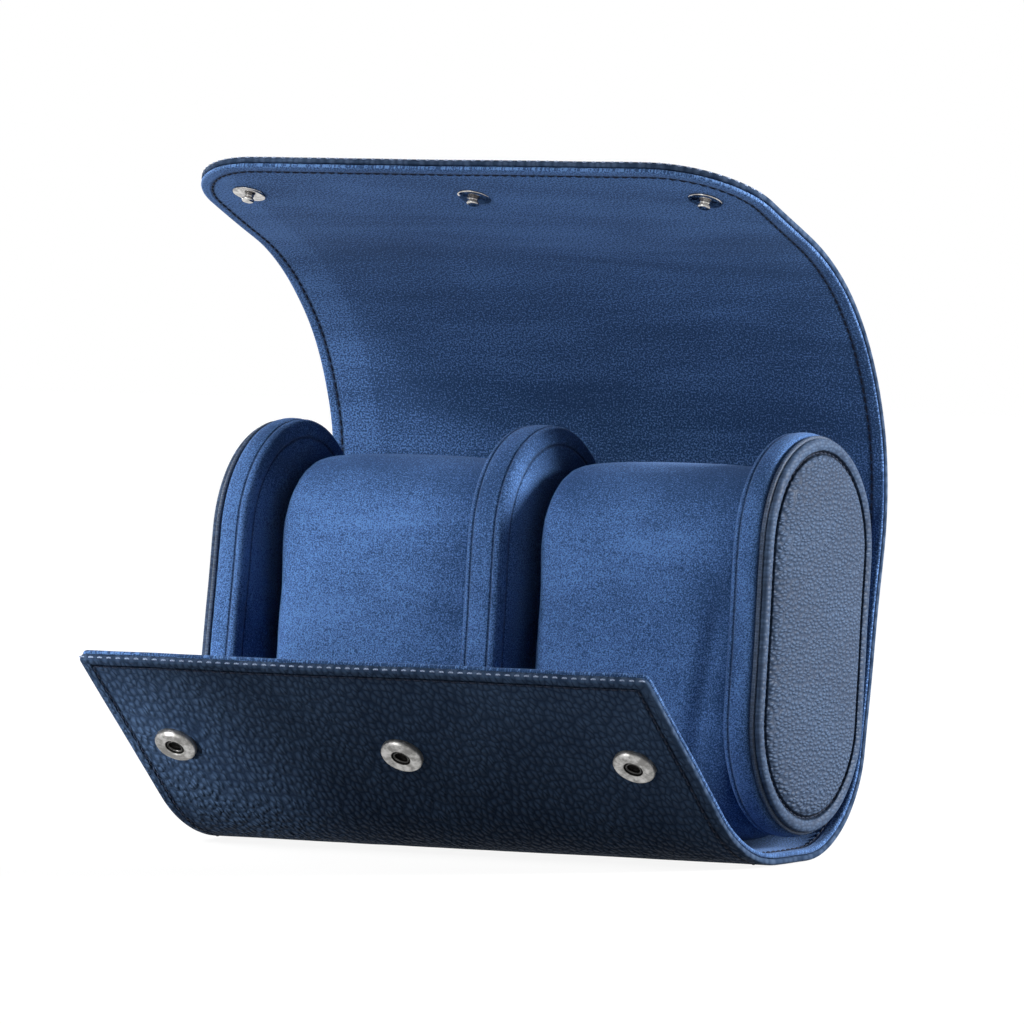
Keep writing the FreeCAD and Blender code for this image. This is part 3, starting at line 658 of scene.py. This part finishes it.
for side, place, lean in (("left", -1, 0.034), ("right", 1, 0.0)):
    rings = [(inset, cheek_inner + x) for inset, x in cheek_rings]
    points, faces, uvs, edges = oval_loft(rings, place, flat_map=False, edge_of=cheek_edge)
    points = lean_in(points, lean)
    rim = new_piece("cheek_cover_" + side, points, faces, [cheek_suede], None, uvs, edges,
                    ((0.09 * place, -0.029, 0.055), (0, -1, 0)))
    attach(rim, "base")
    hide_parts(f"cheek_{side}_rim", f"cheek_{side}_core", f"cheek_{side}_facing")
    rings = [(inset, cheek_inner + x) for inset, x in pad_rings]
    points, faces, uvs, edges = oval_loft(rings, place, edge_of=lambda inset, x: inset)
    kinds = [0] * len(faces)
    ring = stadium(pad_ring, straight=60, arc=120)
    lengths = [0.0]
    for k in range(len(ring)):
        lengths.append(lengths[-1] + (ring[(k + 1) % len(ring)] - ring[k]).length)
    count = round(lengths[-1] / ring_pitch)
    spot = 0
    for k in range(count):
        ends = []
        for share in (k / count, (k + ring_stitch) / count):
            while lengths[spot + 1] < share * lengths[-1]:
                spot += 1
            t = (share * lengths[-1] - lengths[spot]) / (lengths[spot + 1] - lengths[spot])
            p = ring[spot].lerp(ring[(spot + 1) % len(ring)], t)
            ends.append(Vector(((cheek_inner + ring_height) * place, p.x, p.y)))
        add_stitch(points, faces, ends[0], ends[1], Vector((place, 0, 0)), thread_radius)
    kinds += [1] * (len(faces) - len(kinds))
    extra = len(points) - len(uvs)
    points = lean_in(points, lean)
    pad = new_piece("cheek_pad_" + side, points, faces, [cheek_leather, thread], kinds, uvs + [(0, 0)] * extra,
                    edges + [far_in] * extra, ((0.09 * place, 0.004, 0.057), (place, 0, 0)))
    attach(pad, "base")
    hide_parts(f"cheek_{side}_pad")
    rings = [(inset, cheek_inner + x) for inset, x in piping_rings]
    points, faces, uvs, edges = oval_loft(rings, place)
    points = lean_in(points, lean)
    piping = new_piece("cheek_piping_" + side, points, faces, [piping_leather], None, uvs, edges,
                       ((0.081 * place, -0.03, 0.055), (0, -1, 0)))
    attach(piping, "base")
    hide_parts(f"cheek_{side}_piping")

# Middle divider
# The same oval as the cheeks, suede on both faces and round the rim, with a seam near either edge of the rim.
# It stands glued to the base between the two bays.
half_divider = 0.00515
half_rings = [(inset, x - half_divider) for inset, x in cheek_rings if x < 0.0048 and inset < 0.0299]
other_rings = [(inset, -x) for inset, x in half_rings[::-1]]
divider_rings = [(cheek_radius, -half_divider), *half_rings, (-0.00025, 0), *other_rings, (cheek_radius, half_divider)]
# the divider's suede is painted darker towards its top: painted shade
divider_suede = suede_finish("divider suede", (60.0, 40.0, 26.0), 0.9, 0.40, (0.080, 0.104, -0.3), rim_seams)


def divider_edge(inset, x):
    """Distance for the divider's grooves, as for the cheek's, from either face."""
    return inset if abs(x) > half_divider - face_depth else rim_start + half_divider - abs(x)


points, faces, uvs, edges = oval_loft(divider_rings, 1, flat_map=False, edge_of=divider_edge)
divider = new_piece("divider_cover", points, faces, [divider_suede], None, uvs, edges, ((0, -0.03, 0.055), (0, -1, 0)))
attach(divider, "base")
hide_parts("divider_rim", "divider_core", "divider_facing_left", "divider_facing_right")

# Watch cushions
# Two foam rolls in sewn suede covers, oval like the cheeks but smaller, lying loose in the bays for a watch strap.
# The cover's sides are drawn round the foam's edges, so the roll is a little crowned and its ends are soft.
cushion_low, cushion_high, cushion_radius = Vector((0.004015, 0.0273)), Vector((0.009155, 0.07653)), 0.0236
cushion_middle, cushion_half, cushion_shift = 0.038575, 0.0303, 0.0009
pleat_middle, pleat_slant, pleat_foot, pleat_top, pleat_back = 0.0600, 0.10, 0.03, 0.070, 0.004
dip_depth, dip_width, ridge_height, ridge_width, ridge_off = 0.0013, 0.0021, 0.0005, 0.0024, 0.0045
cushion_cell, cushion_give, fill_pressure, fill_steps = 0.0020, 0.0009, 4, 20
# the cushions' suede is painted darker towards the top and towards each right end: painted shade
cushion_suede = suede_finish("cushion suede", (24.0, 24.0, 70.0), 0.7, 0.44, (0.082, 0.1, -0.3),
                             shaded_roll_end=(cushion_middle, 0.008, 0.031, -0.26))


def puff_up(piece, cell, reach):
    """Fill the cover: remesh it, blow it up gently as cloth, hold each point within reach, and smooth it."""
    remesh = piece.modifiers.new("even", "REMESH")
    remesh.mode, remesh.voxel_size = "VOXEL", cell
    bpy.context.view_layer.objects.active = piece
    bpy.ops.object.select_all(action="DESELECT")
    piece.select_set(True)
    bpy.ops.object.modifier_apply(modifier="even")
    before = [v.co.copy() for v in piece.data.vertices]
    cloth = piece.modifiers.new("fill", "CLOTH")
    cloth.settings.use_pressure = True
    cloth.settings.uniform_pressure_force = fill_pressure
    cloth.settings.quality = 5
    cloth.settings.effector_weights.gravity = 0
    cloth.point_cache.frame_start, cloth.point_cache.frame_end = 1, fill_steps
    for step in range(1, fill_steps + 1):
        scene.frame_set(step)
    shape = piece.evaluated_get(bpy.context.evaluated_depsgraph_get()).to_mesh()
    after = [v.co.copy() for v in shape.vertices]
    piece.modifiers.remove(cloth)
    scene.frame_set(1)
    for vertex, old, new in zip(piece.data.vertices, before, after):
        move = new - old
        vertex.co = old + move * min(1, reach / max(move.length, 1e-9))
    smooth = bmesh.new()
    smooth.from_mesh(piece.data)
    for _ in range(2):
        bmesh.ops.smooth_vert(smooth, verts=smooth.verts[:], factor=0.5,
                              use_axis_x=True, use_axis_y=True, use_axis_z=True)
    for face in smooth.faces:
        face.smooth = True
    smooth.to_mesh(piece.data)
    smooth.free()
    finer = piece.modifiers.new("finer", "SUBSURF")
    finer.levels = finer.render_levels = 1
    bpy.ops.object.modifier_apply(modifier="finer")


half_cushion = [(inset, x - cushion_half) for inset, x in (
    (cushion_radius, 0), (0.014, 0), (0.007, 0), (0.0040, 0.0001), (0.0026, 0.0005), (0.0016, 0.0012), (0.0010, 0.0022),
    (0.0006, 0.0036), (0.0002, 0.008), (-0.0003, 0.016), (-0.0005, 0.025))]
rings = half_cushion + [(inset, -x) for inset, x in half_cushion[::-1]]
for side, place in (("left", -1), ("right", 1)):
    points, faces, _, _ = oval_loft(rings, 1, (cushion_low, cushion_high), cushion_radius)
    points = [p + Vector((cushion_middle * place + cushion_shift, 0, 0)) for p in points]
    cover = new_piece("cushion_" + side, points, faces, [cushion_suede],
                      outward=((cushion_middle * place, -0.02, 0.05), (0, -1, 0)))
    shape = bmesh.new()
    shape.from_mesh(cover.data)
    bmesh.ops.remove_doubles(shape, verts=shape.verts[:], dist=0.00006)
    shape.to_mesh(cover.data)
    shape.free()
    puff_up(cover, cushion_cell, cushion_give)
    if side == "right":
        # a soft pleat in the cover, low at the front and beside the cheek
        for vertex in cover.data.vertices:
            spot = vertex.co
            off = spot.x - pleat_middle - pleat_slant * (spot.z - pleat_foot)
            low = min(1.0, max(0.0, (pleat_top - spot.z) / 0.02)) * min(1.0, max(0.0, (pleat_back - spot.y) / 0.01))
            dip, ridge = math.exp(-(off / dip_width) ** 2), math.exp(-((off + ridge_off) / ridge_width) ** 2)
            spot.y += low * (dip_depth * dip - ridge_height * ridge)
    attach(cover, "cushion_" + side)
    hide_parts(f"cushion_{side}_cover", f"cushion_{side}_core")

# Press-stud sockets on the flap
# Three thick turned rings of antique nickel with a rolled rim and a ring spring in the bore.
# Each is clenched through the leather by a hidden rivet.
snap_places = (-0.0669, 0.0, 0.0669)
socket_along, socket_height = 0.0330, 0.0023


def metal_finish(name, colour, dull, rough, scratches):
    """Plated metal: bright, with darker tarnish in patches, and fine scratches."""
    material, tree, shader = new_material(name)
    place = add_node(tree, "ShaderNodeTexCoord").outputs["Object"]
    patch = noise_node(tree, place, 420.0, Detail=4.0, Roughness=0.65)
    fine = noise_node(tree, place, 3800.0, Detail=2.0)
    worn = ramp_node(tree, patch, 0.38, 0.66)
    tree.links.new(mix_node(tree, worn, dull, colour), shader.inputs["Base Color"])
    shine = math_node(tree, "ADD", math_node(tree, "MULTIPLY", fine, scratches),
                      math_node(tree, "SUBTRACT", rough, math_node(tree, "MULTIPLY", worn, 0.08)))
    tree.links.new(shine, shader.inputs["Roughness"])
    add_relief(tree, shader, fine, 0.00002, 0.6)
    shader.inputs["Metallic"].default_value = 1.0
    return material


def turned(points, faces, profile, origin, axis, start_angle=0.0, sides=56, oval=None):
    """A turned part: profile is (radius, height) from its foot, standing at origin along axis."""
    across = Vector((1, 0, 0))
    aside = axis.cross(across).normalized()
    first = len(points)
    for radius, height in profile:
        for k in range(sides):
            a = start_angle + 2 * math.pi * k / sides
            out_to = across * math.cos(a) + aside * math.sin(a)
            points.append(origin + axis * height + out_to * radius * (oval(a) if oval else 1))
    faces.extend(tube_faces(first, len(profile), sides))


antique_nickel = metal_finish("antique nickel", (0.47, 0.465, 0.455, 1), (0.20, 0.197, 0.19, 1), 0.36, 0.2)
# the spring steel is darker than bare steel, partly as painted shade in the bore
spring_steel = metal_finish("spring steel", (0.12, 0.118, 0.115, 1), (0.04, 0.04, 0.04, 1), 0.3, 0.15)
# the socket's bore is painted nearly black: painted shade in the bore
shade_well = metal_finish("painted shade well", (0.020, 0.019, 0.018, 1), (0.008, 0.008, 0.008, 1), 0.5, 0.2)
y, z, heading = wrap_point(socket_along, 0)
outward = Vector((0, math.sin(heading), -math.cos(heading)))
ring_profile = [(0.0053, -0.0002), (0.00555, 0.0002), (0.0056, 0.0007), (0.0056, 0.0013), (0.00548, 0.0017),
                (0.0052, 0.00202), (0.0048, 0.00222), (0.0043, socket_height), (0.0037, 0.00229), (0.0031, 0.0022),
                (0.0028, 0.00212), (0.0026, 0.00198)]
well_profile = [(0.0026, 0.00198), (0.00246, 0.0018), (0.0024, 0.0015), (0.0024, 0.0006), (0.0023, 0.0002),
                (0.0001, 0.0002)]
points, faces = [], []
for x in snap_places:
    turned(points, faces, ring_profile, Vector((x, y, z)), outward)
kinds = [0] * len(faces)
for x in snap_places:
    turned(points, faces, well_profile, Vector((x, y, z)), outward)
kinds += [1] * (len(faces) - len(kinds))
sockets = new_piece("press_sockets", points, faces, [antique_nickel, shade_well], kinds,
                    outward=(Vector((0.0042, y, z)) + outward * socket_height, outward))
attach(sockets, "flap")
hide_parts("snap_sockets")
points, faces = [], []
# the ring spring is bent from wire and a little three-sided
spring_radius, spring_height, wire_radius = 0.00195, 0.00150, 0.00022
wire = [(spring_radius + wire_radius * math.cos(math.radians(a)),
         spring_height + wire_radius * math.sin(math.radians(a))) for a in range(0, 361, 36)]
for number, x in enumerate(snap_places):
    turned(points, faces, wire, Vector((x, y, z)), outward, 0.4 * number, 60, lambda a: 1 - 0.05 * math.cos(3 * a))
springs = new_piece("socket_springs", points, faces, [spring_steel])
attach(springs, "flap")
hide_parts("snap_socket_springs")

# Press studs under the lid's tip
# Three polished nickel studs: a thin domed flange on the suede, a waisted neck and a ball that snaps into a socket.
# Each is riveted through the lining and board, and its rivet head is hidden under the leather.
stud_along = wrap_length - 0.0176
bright_nickel = metal_finish("bright nickel", (0.62, 0.61, 0.59, 1), (0.32, 0.31, 0.31, 1), 0.10, 0.06)
y, z, heading = wrap_point(stud_along, wrap_thickness)
inward = Vector((0, -math.sin(heading), math.cos(heading)))
stud_profile = [(0.0040, -0.0001), (0.0044, 0.00005), (0.0045, 0.0002), (0.00445, 0.00036), (0.0042, 0.00052),
                (0.0036, 0.00064), (0.0028, 0.0007), (0.0020, 0.00072), (0.00145, 0.0008), (0.00118, 0.00095),
                (0.0011, 0.00115), (0.00116, 0.00132), (0.0014, 0.00148), (0.00162, 0.0017), (0.0017, 0.00192),
                (0.00162, 0.00216), (0.0014, 0.00236), (0.0010, 0.00247), (0.0005, 0.0025), (0.00005, 0.0025)]
points, faces = [], []
for x in snap_places:
    turned(points, faces, stud_profile, Vector((x, y, z)), inward)
studs = new_piece("press_studs", points, faces, [bright_nickel],
                  outward=(Vector((0.0036, y, z)) + inward * 0.0006, inward))
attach(studs, "lid_front")
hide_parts("snap_studs")
for name in ("snap_socket_rivets", "snap_stud_rivets"):
    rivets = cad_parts[name]
    rivets.data.materials.clear()
    rivets.data.materials.append(spring_steel)

# Studio
# A white seamless sheet and six lamps: a key high on the left, one behind the right end that grazes its pad, a small
# one near the flap's left, a fill from the front, one at the left side and one behind.
# The sheet is plain white to the lens and takes the roll's soft shadow; away from the roll it glows faintly to light it
# from below, as painted bounce light.
sheet_grey, near_white, far_white, stray_light = 0.12, 0.9, 0.1, 0.05
sheet_drop, white_from, white_to, sheet_glow_from, sheet_glow_to = 0.0004, 0.25, 0.8, 0.07, 0.26


def seen_node(tree):
    """1 where the lens sees the surface, straight or in a shine, and 0 where it only gives light."""
    path = add_node(tree, "ShaderNodeLightPath")
    seen = math_node(tree, "MAXIMUM", path.outputs["Is Camera Ray"], path.outputs["Is Glossy Ray"])
    return math_node(tree, "MAXIMUM", seen, path.outputs["Is Transmission Ray"])


world = bpy.data.worlds.new("studio")
scene.world = world
world.use_nodes = True
tree = world.node_tree
tree.nodes.clear()
level = add_node(tree, "ShaderNodeMapRange", {"Value": seen_node(tree), "To Min": stray_light, "To Max": 1.0})
backdrop = add_node(tree, "ShaderNodeBackground", {"Color": (1, 1, 1, 1), "Strength": level.outputs[0]})
tree.links.new(backdrop.outputs[0], add_node(tree, "ShaderNodeOutputWorld").inputs["Surface"])

floor_shape = bmesh.new()
bmesh.ops.create_grid(floor_shape, x_segments=8, y_segments=8, size=3)
floor_mesh = bpy.data.meshes.new("floor")
floor_shape.to_mesh(floor_mesh)
floor_shape.free()
floor = bpy.data.objects.new("floor", floor_mesh)
floor.location.z = -sheet_drop
scene.collection.objects.link(floor)
sheet = bpy.data.materials.new("white sheet")
sheet.use_nodes = True
tree = sheet.node_tree
tree.nodes.clear()
seen = seen_node(tree)
spot = add_node(tree, "ShaderNodeTexCoord").outputs["Object"]
away_from = add_node(tree, "ShaderNodeVectorMath", {0: spot}, operation="LENGTH").outputs["Value"]
far = ramp_node(tree, away_from, white_from, white_to)
matt = add_node(tree, "ShaderNodeBsdfDiffuse", {"Color": (sheet_grey, sheet_grey, sheet_grey, 1)})
# away from the roll the sheet glows to light rays in place of bounce light: painted light
sheet_glow = ramp_node(tree, away_from, sheet_glow_from, sheet_glow_to)
bright = math_node(tree, "ADD", math_node(tree, "MULTIPLY", far, far_white), near_white)
bright = math_node(tree, "ADD", math_node(tree, "MULTIPLY", seen, bright),
                   math_node(tree, "MULTIPLY", math_node(tree, "SUBTRACT", 1.0, seen), sheet_glow))
white = add_node(tree, "ShaderNodeEmission", {"Color": (1, 1, 1, 1), "Strength": bright})
mixed = add_node(tree, "ShaderNodeAddShader", {0: matt.outputs[0], 1: white.outputs[0]})
tree.links.new(mixed.outputs[0], add_node(tree, "ShaderNodeOutputMaterial").inputs["Surface"])
floor_mesh.materials.append(sheet)

for name, target, turn, rise, distance, size, spread, power in (
        ("key", (-0.17, 0, 0.08), -28, 38, 1.2, 0.4, 30, 0.97),
        ("right", (0.08, 0, 0.06), 118, 16, 1.2, 0.25, 120, 18),
        ("left", (-0.075, -0.060, 0.026), -18, -5, 0.2, 0.024, 22, 0.015),
        ("front", (0, 0, 0.07), -8, 12, 1.8, 0.9, 120, 2.6),
        ("side", (-0.08, 0, 0.06), -105, 12, 1.2, 0.5, 120, 4),
        ("rear", (0, 0.03, 0.08), 165, 40, 1.5, 0.9, 120, 3)):
    lamp = bpy.data.objects.new(name, bpy.data.lights.new(name, "AREA"))
    lamp.data.energy, lamp.data.size, lamp.data.spread = power, size, math.radians(spread)
    way = way_out(turn, rise)
    lamp.location = Vector(target) + way * distance
    lamp.rotation_mode = "QUATERNION"
    lamp.rotation_quaternion = way.to_track_quat("Z", "Y")
    lamp.visible_camera = False
    scene.collection.objects.link(lamp)
